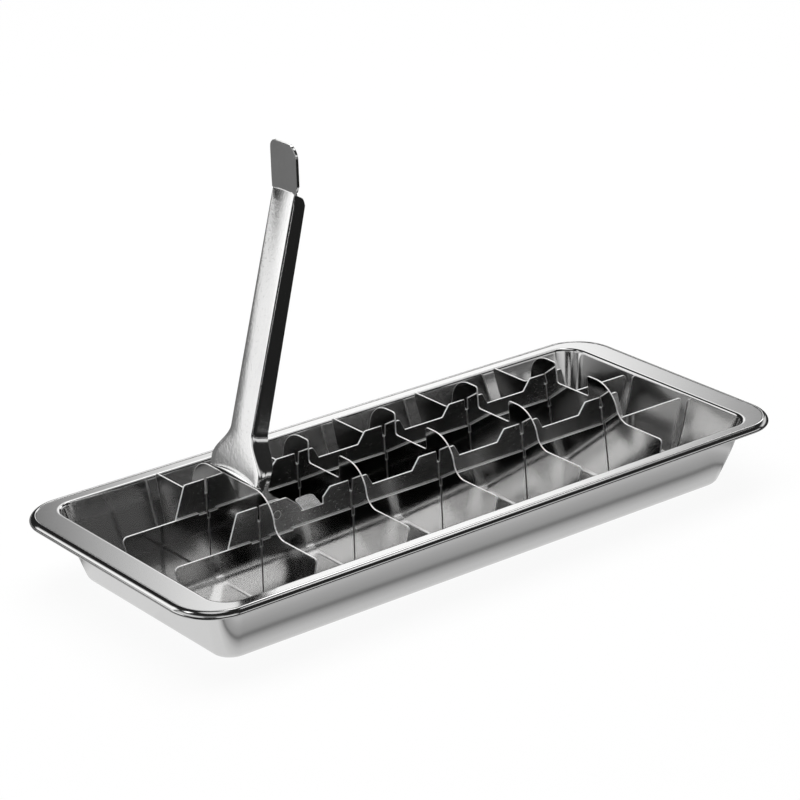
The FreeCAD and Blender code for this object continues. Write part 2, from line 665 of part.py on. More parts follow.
lip_x = "(%s - lip_bend)" % WEB_X
outer_lip = "(lip_bend + lever_sheet)"
lip_run = "lip_flat * sin(lip_angle)"
lip_fall = "lip_flat * cos(lip_angle)"
lip_front = ("%s + lip_bend * cos(lip_angle)" % lip_x, "%s - lip_bend * sin(lip_angle)" % LIP_TOP)
lip_back = ("%s + %s * cos(lip_angle)" % (lip_x, outer_lip),
            "%s - %s * sin(lip_angle)" % (LIP_TOP, outer_lip))
lip = new_sketch(lever, "lip", "XZ_Plane")
draw(lip, [
    (WEB_X, LIP_TOP, "-lip_bend"),
    lip_front,
    ("%s - %s" % (lip_front[0], lip_run), "%s - %s" % (lip_front[1], lip_fall)),
    ("%s - %s" % (lip_back[0], lip_run), "%s - %s" % (lip_back[1], lip_fall)),
    lip_back + (outer_lip,),
    (WEB_X + " + lever_sheet", LIP_TOP),
])
extrude("Pad", lever, lip, "2 * " + half_heel, both_sides=True)

bend_x = "(%s - bend_radius)" % WEB_X
outer_bend = "(bend_radius + lever_sheet)"
inner_side = ("%s + %s * cos(finger_bend)" % (bend_x, outer_bend),
              "%s + %s * sin(finger_bend)" % (LEVER_END, outer_bend))
tip_x = "(%s + %s * cos(finger_bend) - finger_length * sin(finger_bend))" % (bend_x, outer_bend)
tip_z = "(%s + %s * sin(finger_bend) + finger_length * cos(finger_bend))" % (LEVER_END, outer_bend)
finger = new_sketch(lever, "finger", "XZ_Plane")
draw(finger, [
    (WEB_X, LEVER_END),
    (WEB_X + " + lever_sheet", LEVER_END, outer_bend),
    inner_side,
    (tip_x, tip_z),
    (tip_x + " - lever_sheet * cos(finger_bend)", tip_z + " - lever_sheet * sin(finger_bend)"),
    ("%s + bend_radius * cos(finger_bend)" % bend_x, "%s + bend_radius * sin(finger_bend)" % LEVER_END,
     "-bend_radius"),
])
extrude("Pad", lever, finger, "channel_width", both_sides=True)


def at_fingertip(edge):
    """Whether an edge is a corner of the finger tab."""
    box = edge.BoundBox
    return box.ZMin > now(tip_z) - now("lever_sheet") and box.YLength < NEAR


blend(lever, "finger_corner", at_fingertip, "fingertip")
turn(lever, FreeCAD.Vector(0, 1, 0), "lever_lean")

# Pivot rivets: flush in the bar's outer face, with a low head inside the ear.
for side, start, way in (("near", "-row_split / 2 + slide_gap / 2", ""),
                         ("far", "row_split / 2 + slide_gap / 2 + bar_sheet", "-")):
    rivet = new_body("pivot_rivet_" + side, x=PIVOT_X, y=start, z=PIVOT_Z)
    under_head = way + "(bar_sheet + ear_gap + lever_sheet + head_gap)"
    bevel = way + "(bar_sheet + ear_gap + lever_sheet + head_gap + rivet_head - rivet_bevel)"
    crown = way + "(bar_sheet + ear_gap + lever_sheet + head_gap + rivet_head)"
    section = new_sketch(rivet, "section", "XY_Plane")
    draw(section, [
        ("0", "0"), ("rivet_radius", "0"), ("rivet_radius", under_head), ("rivet_head_radius", under_head),
        ("rivet_head_radius", bevel), ("rivet_head_radius - rivet_bevel", crown), ("0", crown),
    ])
    spin = rivet.newObject("PartDesign::Revolution", rivet.Name + "_spin")
    spin.Profile = section
    spin.ReferenceAxis = (section, ["V_Axis"])
    spin.Angle = 360

# Check every object, then write each piece.
doc.recompute()
for item in doc.Objects:
    if {"Invalid", "Error"} & set(item.State):
        raise RuntimeError("%s: %s" % (item.Name, item.State))
pieces = [item for item in doc.Objects if item.TypeId == "PartDesign::Body"]
for piece in pieces:
    if piece.Shape.isNull() or not piece.Shape.isValid() or len(piece.Shape.Solids) != 1:
        raise RuntimeError(piece.Label + " is not one valid solid")
os.makedirs("parts", exist_ok=True)
for piece in pieces:
    piece.Shape.exportStep("parts/%s.step" % piece.Label)
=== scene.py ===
import math

import bmesh
import bpy
from mathutils import Matrix, Vector


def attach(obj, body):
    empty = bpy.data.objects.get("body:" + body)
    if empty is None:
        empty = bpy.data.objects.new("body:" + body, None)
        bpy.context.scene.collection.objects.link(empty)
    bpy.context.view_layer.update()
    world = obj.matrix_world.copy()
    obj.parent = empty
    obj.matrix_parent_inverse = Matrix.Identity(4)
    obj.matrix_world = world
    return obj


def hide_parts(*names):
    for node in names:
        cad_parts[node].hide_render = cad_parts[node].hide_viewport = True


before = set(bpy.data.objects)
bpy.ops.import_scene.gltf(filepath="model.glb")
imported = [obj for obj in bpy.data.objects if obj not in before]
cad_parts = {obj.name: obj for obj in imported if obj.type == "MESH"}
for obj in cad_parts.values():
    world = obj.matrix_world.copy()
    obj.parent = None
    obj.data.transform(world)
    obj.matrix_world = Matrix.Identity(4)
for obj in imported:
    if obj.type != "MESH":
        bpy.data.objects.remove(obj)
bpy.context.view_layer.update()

# Tray pan: a tray drawn from one stainless sheet, with tapered walls, rounded corners and a flat floor.
# A flat flange runs round its mouth, and the flange's outer edge is rolled over into a round bead.
# It has a satin finish, grained along its length by the rolling of the sheet.
MM = 0.001
PAN_SHEET = 0.8
FLANGE_TOP = 28.3
OPENING = (130.25, 54.3)
FLANGE_WIDTH = (13.5, 7.0)
FLANGE_CORNER = 18.3
MOUTH_CORNER = 9.5
FLOOR_CORNER = 6.5
DRAW_DEPTH = 27.5
TAPER = (7.4, 8.6)
MOUTH_BEND = 1.3
FLOOR_BEND = 3.4
BEAD_HALF = 1.4
BEAD_LONG = 1.75
BEAD_THIN = 0.93
BEAD_PROUD = 0.25
BEAD_TURN = 45
BEAD_STEPS = 24
FLAT_STARTS = 2.9
MOUTH_FLAT = 0.5
MOUTH_REACH = 0.9
WALL_BOW = 0.22
WALL_ROWS = (0.02, 0.14, 0.28, 0.42, 0.56, 0.7, 0.84, 0.98)
FLOOR_EDGE = (0.5, 6.0)
FLOOR_PATCH_INSET = 2.6
FLOOR_PATCH_CORNER = 3.4
LEAST_CORNER = 1.0
FLANGE_LINES = 3
MOUTH_STEPS = 6
FOOT_STEPS = 8
CORNER_STEPS = 14
LONG_STEPS = 16
SHORT_STEPS = 6
CLOUD_SCALE = 45.0
WAVE_SCALE = 22.0
PIT_SCALE = 900.0
PIT_EDGE = (0.05, 0.22)
CUT_ROUGHNESS = 0.2
CUT_SCATTER = 0.75


class Field:
    """One output of a node. Arithmetic on it adds Math nodes, and node() adds any other node."""

    def __init__(self, tree, socket=None):
        self.tree = tree
        self.socket = socket

    def node(self, kind, settings=None, inputs=None, output=0):
        made = self.tree.nodes.new(kind)
        for name, setting in (settings or {}).items():
            if name == "stops":
                while len(made.color_ramp.elements) < len(setting):
                    made.color_ramp.elements.new(1.0)
                for element, (position, shade) in zip(made.color_ramp.elements, setting):
                    element.position = position
                    element.color = (shade, shade, shade, 1)
            else:
                setattr(made, name, setting)
        for name, source in (inputs or {}).items():
            if isinstance(source, Field):
                self.tree.links.new(source.socket, made.inputs[name])
            else:
                made.inputs[name].default_value = source
        return Field(self.tree, made.outputs[output] if made.outputs else None)

    def math(self, operation, other=0.0, swap=False):
        first, second = (other, self) if swap else (self, other)
        return self.node("ShaderNodeMath", {"operation": operation}, {0: first, 1: second})

    def ramp(self, low, high):
        """From 0 at low to 1 at high, with soft ends."""
        settings = {"interpolation_type": "SMOOTHSTEP"}
        return self.node("ShaderNodeMapRange", settings, {"Value": self, "From Min": low, "From Max": high})

    def __add__(self, other):
        return self.math("ADD", other)

    def __radd__(self, other):
        return self.math("ADD", other, swap=True)

    def __sub__(self, other):
        return self.math("SUBTRACT", other)

    def __rsub__(self, other):
        return self.math("SUBTRACT", other, swap=True)

    def __mul__(self, other):
        return self.math("MULTIPLY", other)

    def __rmul__(self, other):
        return self.math("MULTIPLY", other, swap=True)

    def __truediv__(self, other):
        return self.math("DIVIDE", other)


def steel(name, tone, gloss, streak, grain_depth, wave_depth, smudge, cut=0.0):
    """Stainless sheet. Its grain is stretched by streak. Its sheared edges are rougher and less metallic,
    and are brighter by cut: a painted highlight along the edges.
    """
    material = bpy.data.materials.new(name)
    material.use_nodes = True
    tree = material.node_tree
    shader = tree.nodes["Principled BSDF"]
    shader.inputs["Metallic"].default_value = 1.0
    place = Field(tree).node("ShaderNodeTexCoord", output="Object")
    stretched = place.node("ShaderNodeMapping", inputs={"Vector": place, "Scale": streak})
    grain = place.node("ShaderNodeTexNoise", inputs={"Vector": stretched, "Scale": 1.0, "Detail": 4.0})
    cloud = place.node("ShaderNodeTexNoise", inputs={"Vector": place, "Scale": CLOUD_SCALE, "Detail": 3.0})
    wave = place.node("ShaderNodeTexNoise", inputs={"Vector": place, "Scale": WAVE_SCALE, "Detail": 1.0})
    specks = place.node("ShaderNodeTexVoronoi", {"feature": "F1"}, {"Vector": place, "Scale": PIT_SCALE})
    pit = 1 - specks.ramp(*PIT_EDGE)
    shade = (cloud - 0.5) * (smudge * 2) + (grain - 0.5) * smudge + tone - pit * smudge
    rough = (cloud - 0.5) * (gloss * 0.5) + (grain - 0.5) * (gloss * 0.6) + gloss + pit * 0.05
    # Sheared faces are rougher and less metallic, as a tumbled cut edge is. Their lighter colour is a
    # painted highlight.
    if cut:
        edge = place.node("ShaderNodeAttribute", {"attribute_name": "sheared"}, output="Fac")
        shade = shade + edge * cut
        rough = rough + edge * CUT_ROUGHNESS
        tree.links.new((1 - edge * CUT_SCATTER).socket, shader.inputs["Metallic"])
    channels = {"Red": shade, "Green": shade * 0.998, "Blue": shade * 0.995}
    warm = place.node("ShaderNodeCombineColor", inputs=channels)
    tree.links.new(warm.socket, shader.inputs["Base Color"])
    tree.links.new(rough.socket, shader.inputs["Roughness"])
    height = grain * grain_depth + wave * wave_depth - pit * (grain_depth * 0.6)
    bump = place.node("ShaderNodeBump", inputs={"Strength": 1.0, "Distance": MM, "Height": height})
    tree.links.new(bump.socket, shader.inputs["Normal"])
    return material


def rounded_loop(half_x, half_y, corner, height):
    """Points round a rounded rectangle, from its +X side on."""
    loop = []
    for turn, (sign_x, sign_y) in enumerate(((1, 1), (-1, 1), (-1, -1), (1, -1))):
        for step in range(CORNER_STEPS + 1):
            angle = math.pi / 2 * (turn + step / CORNER_STEPS)
            x = sign_x * (half_x - corner) + corner * math.cos(angle)
            y = sign_y * (half_y - corner) + corner * math.sin(angle)
            loop.append(Vector((x, y, height)) * MM)
        steps = SHORT_STEPS if turn % 2 else LONG_STEPS
        ahead = ((-1, 1), (-1, -1), (1, -1), (1, 1))[turn]
        ends = math.pi / 2 * (turn + 1)
        target = (ahead[0] * (half_x - corner) + corner * math.cos(ends),
                  ahead[1] * (half_y - corner) + corner * math.sin(ends))
        for step in range(1, steps):
            share = step / steps
            loop.append(Vector((x + (target[0] - x) * share, y + (target[1] - y) * share, height)) * MM)
    return loop


def pan_section(flange, taper):
    """The inner skin's line from the bead to the floor, as inset, height and the two parts of its normal."""
    slope = math.atan2(taper, DRAW_DEPTH)
    floor_z = FLANGE_TOP - DRAW_DEPTH
    line = [(-flange + BEAD_HALF, FLANGE_TOP, 0.0, 1.0), (-flange + FLAT_STARTS, FLANGE_TOP, 0.0, 1.0)]
    reach = MOUTH_BEND * math.tan((math.pi / 2 - slope) / 2)
    line.append((-reach - MOUTH_FLAT, FLANGE_TOP, 0.0, 1.0))
    for step in range(MOUTH_STEPS + 1):
        angle = (math.pi / 2 - slope) * step / MOUTH_STEPS
        normal = (math.sin(angle), math.cos(angle))
        line.append((-reach + MOUTH_BEND * normal[0], FLANGE_TOP - MOUTH_BEND * (1 - normal[1]), *normal))
    wall_normal = (math.cos(slope), math.sin(slope))
    down = (math.sin(slope), -math.cos(slope))
    length = math.hypot(taper, DRAW_DEPTH)
    pull = FLOOR_BEND * math.tan((math.pi / 2 - slope) / 2)
    for share in WALL_ROWS:
        along = reach + (length - reach - pull) * share
        bow = WALL_BOW * math.sin(math.pi * share) * (1 - 0.35 * math.cos(2 * math.pi * share))
        tilt = WALL_BOW * math.pi / length * math.cos(math.pi * share)
        normal = (wall_normal[0] - tilt * wall_normal[1], wall_normal[1] + tilt * wall_normal[0])
        inset = down[0] * along - bow * wall_normal[0]
        line.append((inset, FLANGE_TOP + down[1] * along - bow * wall_normal[1], *normal))
    foot = (taper + pull, floor_z + FLOOR_BEND)
    for step in range(FOOT_STEPS + 1):
        angle = slope + (math.pi / 2 - slope) * step / FOOT_STEPS
        normal = (math.cos(angle), math.sin(angle))
        line.append((foot[0] - FLOOR_BEND * normal[0], foot[1] - FLOOR_BEND * normal[1], *normal))
    for inset in FLOOR_EDGE:
        line.append((foot[0] + inset, floor_z, 0.0, 1.0))
    return line


def skin_loops(depth):
    """The loops of one skin of the pan, a depth below its inner face."""
    loops = []
    ends = pan_section(FLANGE_WIDTH[0], TAPER[0])
    sides = pan_section(FLANGE_WIDTH[1], TAPER[1])
    for index, (end, side) in enumerate(zip(ends, sides)):
        height = (end[1] + side[1]) / 2 - depth * (end[3] + side[3]) / 2
        half_x = OPENING[0] - end[0] + depth * end[2]
        half_y = OPENING[1] - side[0] + depth * side[2]
        if index < FLANGE_LINES:
            share = (side[0] + MOUTH_REACH) / (MOUTH_REACH - FLANGE_WIDTH[1])
            corner = MOUTH_CORNER + (FLANGE_CORNER - MOUTH_CORNER) * max(0.0, share)
            corner = FLANGE_CORNER - BEAD_HALF if index == 0 else corner
        else:
            fallen = (FLANGE_TOP - end[1]) / DRAW_DEPTH
            corner = MOUTH_CORNER + (FLOOR_CORNER - MOUTH_CORNER) * fallen + depth * end[2]
        if end[1] < FLANGE_TOP - DRAW_DEPTH + 0.01:
            corner = max(LEAST_CORNER, FLOOR_PATCH_CORNER - (end[0] - TAPER[0] - FLOOR_PATCH_INSET))
        loops.append(rounded_loop(half_x, half_y, corner, height))
    return loops


pan_mesh = bmesh.new()
upper = [[pan_mesh.verts.new(point) for point in loop] for loop in skin_loops(0.0)]
lower = [[pan_mesh.verts.new(point) for point in loop] for loop in skin_loops(PAN_SHEET)]
rings = list(reversed(lower)) + upper
around = len(upper[0])
for outer_ring, inner_ring in zip(rings, rings[1:]):
    for step in range(around):
        ahead = (step + 1) % around
        pan_mesh.faces.new((outer_ring[step], outer_ring[ahead], inner_ring[ahead], inner_ring[step]))
pan_mesh.faces.new(upper[-1])
pan_mesh.faces.new(list(reversed(lower[-1])))
bmesh.ops.recalc_face_normals(pan_mesh, faces=pan_mesh.faces)

bead_tree = bpy.data.node_groups.new("rolled_bead", "GeometryNodeTree")
bead_tree.interface.new_socket("Geometry", in_out="OUTPUT", socket_type="NodeSocketGeometry")
for name in ("Half length", "Half width", "Corner", "Bead long", "Bead thin", "Bead turn", "Height"):
    bead_tree.interface.new_socket(name, in_out="INPUT", socket_type="NodeSocketFloat")
bead_tree.interface.new_socket("Finish", in_out="INPUT", socket_type="NodeSocketMaterial")
given = {socket.name: Field(bead_tree, socket) for socket in bead_tree.nodes.new("NodeGroupInput").outputs}
outline = given["Corner"].node("GeometryNodeCurvePrimitiveQuadrilateral",
                               inputs={"Width": given["Half length"] * 2, "Height": given["Half width"] * 2})
outline = outline.node("GeometryNodeFilletCurve", {"mode": "POLY"},
                       {"Curve": outline, "Radius": given["Corner"], "Count": CORNER_STEPS * 2,
                        "Limit Radius": True})
wire = outline.node("GeometryNodeCurvePrimitiveCircle", inputs={"Resolution": BEAD_STEPS, "Radius": 1.0})
bead_size = {"X": given["Bead long"], "Y": given["Bead thin"], "Z": 1.0}
squash = outline.node("ShaderNodeCombineXYZ", inputs=bead_size)
turned = outline.node("ShaderNodeCombineXYZ", inputs={"Z": given["Bead turn"]})
wire = wire.node("GeometryNodeTransform", inputs={"Geometry": wire, "Scale": squash, "Rotation": turned})
swept = outline.node("GeometryNodeCurveToMesh", inputs={"Curve": outline, "Profile Curve": wire})
lift = outline.node("ShaderNodeCombineXYZ", inputs={"Z": given["Height"]})
swept = swept.node("GeometryNodeSetPosition", inputs={"Geometry": swept, "Offset": lift})
swept = swept.node("GeometryNodeRealizeInstances", inputs={"Geometry": swept})
swept = swept.node("GeometryNodeSetMaterial", inputs={"Geometry": swept, "Material": given["Finish"]})
swept.node("NodeGroupOutput", inputs={"Geometry": swept})


def grown(tree, sizes):
    """A plain mesh of what a Geometry Nodes tree makes at the sizes given by its inputs' names."""
    holder = bpy.data.objects.new("grown", bpy.data.meshes.new("grown"))
    bpy.context.scene.collection.objects.link(holder)
    modifier = holder.modifiers.new("shape", "NODES")
    modifier.node_group = tree
    items = tree.interface.items_tree
    identifiers = {item.name: item.identifier for item in items if item.in_out == "INPUT"}
    for name, value in sizes.items():
        modifier[identifiers[name]] = value
    holder.update_tag()
    evaluated = holder.evaluated_get(bpy.context.evaluated_depsgraph_get())
    mesh = bpy.data.meshes.new_from_object(evaluated)
    bpy.data.objects.remove(holder)
    return mesh


def finished(name, mesh, material, smooth):
    """An object that holds a bmesh or a mesh, at the origin."""
    if isinstance(mesh, bmesh.types.BMesh):
        data = bpy.data.meshes.new(name)
        mesh.to_mesh(data)
        mesh.free()
    else:
        data = mesh
    data.materials.clear()
    data.materials.append(material)
    for polygon in data.polygons:
        polygon.use_smooth = smooth
    piece = bpy.data.objects.new(name, data)
    bpy.context.scene.collection.objects.link(piece)
    return piece


pan_steel = steel("pan_satin_steel", 0.71, 0.11, (160.0, 1500.0, 1500.0), 0.003, 0.025, 0.02)
bead_mesh = grown(bead_tree, {
    "Half length": (OPENING[0] + FLANGE_WIDTH[0] - BEAD_HALF) * MM,
    "Half width": (OPENING[1] + FLANGE_WIDTH[1] - BEAD_HALF) * MM,
    "Corner": (FLANGE_CORNER - BEAD_HALF) * MM,
    "Bead long": BEAD_LONG * MM,
    "Bead thin": BEAD_THIN * MM,
    "Bead turn": math.radians(BEAD_TURN),
    "Height": (FLANGE_TOP + BEAD_PROUD - BEAD_HALF) * MM,
    "Finish": pan_steel,
})
pan_mesh.from_mesh(bead_mesh)
pan = finished("pan", pan_mesh, pan_steel, True)
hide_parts("tray_pan")
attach(pan, "tray")

# Long plates: two thin strips of hard bright stainless that stand on the floor and divide the three rows.
# Each is blanked in one stroke, with five slots in its top edge for the cross dividers, then tumbled.
# The corners of their cut edges are slightly round and catch the light.
CUT_ROUND = 0.17
MERGE_GAP = 0.01
FLAT_ANGLE = 1
SHARP_ANGLE = 60
FLAT_FACING = 0.98
LUG_AREA = 12
LUG_OUTLINE = 24


def eased(name, piece_name, body, material, radius):
    """A copy of a CAD node whose cut edges are rounded over, and whose sheared faces are marked.

    A lug that is bent out of the sheet is no cut edge: its face is large, and not a narrow strip.
    """
    mesh = bmesh.new()
    mesh.from_mesh(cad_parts[name].data)
    bmesh.ops.remove_doubles(mesh, verts=mesh.verts, dist=MERGE_GAP * MM)
    bmesh.ops.dissolve_limit(mesh, angle_limit=math.radians(FLAT_ANGLE), verts=mesh.verts, edges=mesh.edges)
    folds = [edge for edge in mesh.edges if len(edge.link_faces) == 2]
    sharp = [edge for edge in folds if edge.calc_face_angle() > math.radians(SHARP_ANGLE)]
    bmesh.ops.bevel(mesh, geom=sharp, offset=radius * MM, segments=2, profile=0.5, affect="EDGES",
                    clamp_overlap=True)
    flat = max(mesh.faces, key=bmesh.types.BMFace.calc_area).normal.copy()
    sheared = mesh.faces.layers.float.new("sheared")
    for face in mesh.faces:
        area = face.calc_area()
        lug = area > LUG_AREA * MM ** 2 and face.calc_perimeter() ** 2 < LUG_OUTLINE * area
        face[sheared] = 0.0 if lug or abs(face.normal.dot(flat)) > FLAT_FACING else 1.0
    piece = finished(piece_name, mesh, material, False)
    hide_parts(name)
    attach(piece, body)


grid_steel = steel("grid_bright_steel", 0.66, 0.08, (120.0, 900.0, 900.0), 0.001, 0.025, 0.03, 0.3)
for side in ("near", "far"):
    eased("long_plate_" + side, "plate_" + side, "grid", grid_steel, CUT_ROUND)

# Cross dividers: five thin plates that lie across the tray, lapped over the long plates by slots.
# Each carries two raised ears with a curved shoulder, by which the slide bars tip it.
DIVIDERS = 5
for number in range(1, DIVIDERS + 1):
    divider = "divider_%d" % number
    eased("cross_" + divider, divider, divider, grid_steel, CUT_ROUND)

# Slide bars: two toothed strips that lie flat against the long plates, with a hump beside each divider.
# The lever pushes them along, and their slots carry the dividers with them.
bar_steel = steel("bar_satin_steel", 0.74, 0.24, (300.0, 900.0, 900.0), 0.002, 0.02, 0.05, 0.2)
for side in ("near", "far"):
    eased("slide_bar_" + side, "bar_" + side, "bars", bar_steel, CUT_ROUND)

# Lever: one blank of thicker sheet, folded into a channel, with a foot that flares into two pivot ears.
# Its heel is curled out into a lens-shaped lip, and its free end is bent back as a rounded finger tab.
# The folded steel is bright, and mottled by handling, with a faintly crowned web.
LEVER_SHEET = 1.2
LEVER_LEAN = 14.3
PIVOT = (-77.5, 0.43, 34.3)
WEB = -10.0
HEEL = 9.8
FOOT_TOP = 14.8
FLARE_TOP = 28.8
CHANNEL_TOP = 116.8
FOOT_HALF = 16.1
CHANNEL_HALF = 7.0
WEB_CROWN = 0.14
FOLD_COLUMNS = 6
FLANGE_COLUMNS = 6
WEB_COLUMNS = 16
FOLD_TOP = 1.3
FOLD_FOOT = 2.7
LIP_HEIGHT = 2.2
LIP_CURL = 55.0
LIP_FADE = 9
LIP_TURNS = (0.25, 0.5, 0.75, 1.0)
EAR_RADIUS = 5.8
EAR_EASE = (-0.5, 3.0)
TAB_BEND = 15.5
TAB_LENGTH = 18.3
TAB_HALF = (8.4, 7.0)
TAB_CORNER = (4.8, 3.0)
TAB_FOLD = 2.7
TAB_NECK = 3.5
TAB_ROWS = (0.5, 1.0, 1.5, 2.2, TAB_NECK, 6, 9, 11.5, 13.8, 15.04, 16.2, 17.2, 17.9, 18.2, TAB_LENGTH)
FLANGE_BACK = [(HEEL, 4.5), (HEEL + 4.5, 4.6), (HEEL + 8, 6.4), (HEEL + 12, 7.6), (FLARE_TOP, 7.3),
               (CHANNEL_TOP, 5.6)]
FLANGE_ENDS_FROM = 100
FLANGE_END_SLOPE = 1.2
FLANGE_END_ROUND = 2.4
EAR_SHOULDER = (-1.8, HEEL - 3.2)
EAR_ROWS = (HEEL - 0.5, HEEL - 1.2, HEEL - 2.2, HEEL - 3.2, 5.6, 4.6, 3.6, 2.4, 1.2, 0, -1.2, -2.4, -3.6,
            -4.6, -5.3, -5.7)
HEEL_ROWS = 5
FLARE_ROWS = 14
CHANNEL_ROWS = 22
EDGE_ROUND = 0.24


def eased_step(value, low, high):
    share = min(1.0, max(0.0, (value - low) / (high - low)))
    return share * share * (3 - 2 * share)


def between(value, points):
    """A straight-line reading of a list of (value, result) points."""
    for (low, first), (high, second) in zip(points, points[1:]):
        if value <= high:
            return first + (second - first) * max(0.0, (value - low) / (high - low))
    return points[-1][1]


def lever_half(z):
    return FOOT_HALF + (CHANNEL_HALF - FOOT_HALF) * eased_step(z, FOOT_TOP - 1.5, FLARE_TOP - 1.0)


def flange_back(z):
    """How far the flange's free edge stands behind the web's face."""
    return between(z, FLANGE_BACK)


def channel_row(z):
    """The outer skin of the channel across its width, from the near flange's free edge to the far one's."""
    half = lever_half(z)
    fold = FOLD_TOP + (FOLD_FOOT - FOLD_TOP) * (1 - eased_step(z, FOOT_TOP, FLARE_TOP))
    row = []
    for step in range(FLANGE_COLUMNS):
        share = 1 - step / FLANGE_COLUMNS
        near_end = max(0.0, (z - FLANGE_ENDS_FROM) / (CHANNEL_TOP - FLANGE_ENDS_FROM))
        fall = (FLANGE_END_SLOPE * share + FLANGE_END_ROUND * max(0.0, (share - 0.5) / 0.5) ** 2) * near_end
        row.append(Vector((WEB + fold + (flange_back(z) - fold) * share, -half, z - fall)))
    for step in range(FOLD_COLUMNS):
        angle = math.pi / 2 * step / FOLD_COLUMNS
        row.append(Vector((WEB + fold - fold * math.sin(angle), -half + fold - fold * math.cos(angle), z)))
    for step in range(WEB_COLUMNS // 2 + 1):
        y = -(half - fold) * (1 - 2 * step / WEB_COLUMNS)
        crown = WEB_CROWN * (1 - (y / (half - fold)) ** 2)
        rise = LIP_HEIGHT * (1 - (y / (half - fold)) ** 2) * (1 - eased_step(z, HEEL, HEEL + LIP_FADE))
        row.append(Vector((WEB - crown, y, z + rise)))
    mirrored = [Vector((point.x, -point.y, point.z)) for point in reversed(row[:-1])]
    return row + mirrored


def ear_row(z, top_row):
    """A row of the near ear below the heel, from its back edge to its front edge."""
    reach = math.hypot(WEB, HEEL)
    lean = math.atan2(HEEL, -WEB)
    touch = math.pi - lean + math.acos(EAR_RADIUS / reach)
    front_at = (EAR_RADIUS * math.cos(touch), EAR_RADIUS * math.sin(touch))
    shoulder = EAR_SHOULDER
    back_turn = math.atan2(shoulder[1], shoulder[0]) - math.acos(EAR_RADIUS / math.hypot(*shoulder))
    back_at = (EAR_RADIUS * math.cos(back_turn), EAR_RADIUS * math.sin(back_turn))
    circle = math.sqrt(max(0.04, EAR_RADIUS ** 2 - z * z))
    front = between(z, [(front_at[1], front_at[0]), (HEEL, WEB)]) if z > front_at[1] else -circle
    if z > back_at[1]:
        rear = [(back_at[1], back_at[0]), (shoulder[1], shoulder[0]), (HEEL - 0.5, WEB + 4.5)]
        rear.append((HEEL, WEB + 4.5))
        back = between(z, rear)
    else:
        back = circle
    count = FLANGE_COLUMNS + FOLD_COLUMNS
    row = []
    for step in range(count + 1):
        flat = Vector((back + (front - back) * step / count, -FOOT_HALF, z))
        curled = top_row[step].copy()
        curled.z = z
        row.append(curled.lerp(flat, eased_step(HEEL - z, *EAR_EASE)))
    return row


def tab_row(along):
    """A row of the finger tab, at a distance along it from the channel's end."""
    bend = math.radians(TAB_BEND)
    turned = min(along / TAB_FOLD, bend)
    past = max(0.0, along - TAB_FOLD * bend)
    x = WEB - TAB_FOLD * (1 - math.cos(turned)) - past * math.sin(bend)
    z = CHANNEL_TOP + TAB_FOLD * math.sin(turned) + past * math.cos(bend)
    row = []
    columns = FOLD_COLUMNS * 2 + WEB_COLUMNS
    for step in range(columns + 1):
        share = 2 * step / columns - 1
        corner = TAB_CORNER[share > 0]
        into = max(0.0, along - (TAB_LENGTH - corner)) / corner
        half = TAB_HALF[share > 0] - corner * (1 - math.sqrt(max(0.0, 1 - min(into, 0.999) ** 2)))
        if along < TAB_NECK:
            half = between(along, [(0.0, CHANNEL_HALF - 0.15), (TAB_NECK, half)])
        row.append(Vector((x, share * half, z)))
    return row


lever_mesh = bmesh.new()
heights = [HEEL + (FOOT_TOP - HEEL) * step / HEEL_ROWS for step in range(HEEL_ROWS)]
heights += [FOOT_TOP + (FLARE_TOP - FOOT_TOP) * step / FLARE_ROWS for step in range(FLARE_ROWS)]
heights += [FLARE_TOP + (CHANNEL_TOP - FLARE_TOP) * step / CHANNEL_ROWS for step in range(CHANNEL_ROWS + 1)]
channel = [channel_row(z) for z in heights]
top_row = channel[0]
skin = [[lever_mesh.verts.new(point) for point in row] for row in channel]
for lower_row, upper_row in zip(skin, skin[1:]):
    for step in range(len(lower_row) - 1):
        lever_mesh.faces.new((lower_row[step], lower_row[step + 1], upper_row[step + 1], upper_row[step]))
ear_columns = FLANGE_COLUMNS + FOLD_COLUMNS
for side in (-1, 1):
    last = len(skin[0]) - 1
    above_row = [skin[0][step if side < 0 else last - step] for step in range(ear_columns + 1)]
    for z in EAR_ROWS:
        ear = ear_row(z, top_row)
        made = [lever_mesh.verts.new(Vector((point.x, -side * point.y, point.z))) for point in ear]
        for step in range(ear_columns):
            corners = (made[step], made[step + 1], above_row[step + 1], above_row[step])
            lever_mesh.faces.new(corners if side < 0 else tuple(reversed(corners)))
        above_row = made
web_columns = range(ear_columns, ear_columns + WEB_COLUMNS + 1)
above_row = [skin[0][column] for column in web_columns]
starts = [point.co.copy() for point in above_row]
for turn in LIP_TURNS:
    made = []
    for start in starts:
        curl = math.radians(LIP_CURL)
        radius = max(0.02, start.z - HEEL + 0.1) / math.sin(curl)
        made.append(lever_mesh.verts.new(Vector((start.x - radius * (1 - math.cos(curl * turn)), start.y,
                                                 start.z - radius * math.sin(curl * turn)))))
    for step in range(WEB_COLUMNS):
        lever_mesh.faces.new((made[step], made[step + 1], above_row[step + 1], above_row[step]))
    above_row = made
tab_columns = range(FLANGE_COLUMNS, FLANGE_COLUMNS + FOLD_COLUMNS * 2 + WEB_COLUMNS + 1)
below_row = [skin[-1][column] for column in tab_columns]
for along in TAB_ROWS:
    made = [lever_mesh.verts.new(point) for point in tab_row(along)]
    for step in range(len(made) - 1):
        lever_mesh.faces.new((below_row[step], below_row[step + 1], made[step + 1], made[step]))
    below_row = made
bmesh.ops.reverse_faces(lever_mesh, faces=lever_mesh.faces)
bmesh.ops.transform(lever_mesh, verts=lever_mesh.verts, matrix=Matrix.Scale(MM, 4))
bmesh.ops.transform(lever_mesh, verts=lever_mesh.verts, matrix=Matrix.Translation(Vector(PIVOT) * MM)
                    @ Matrix.Rotation(math.radians(LEVER_LEAN), 4, "Y"))
lever_steel = steel("lever_pressed_steel", 0.86, 0.1, (900.0, 900.0, 500.0), 0.012, 0.05, 0.08)
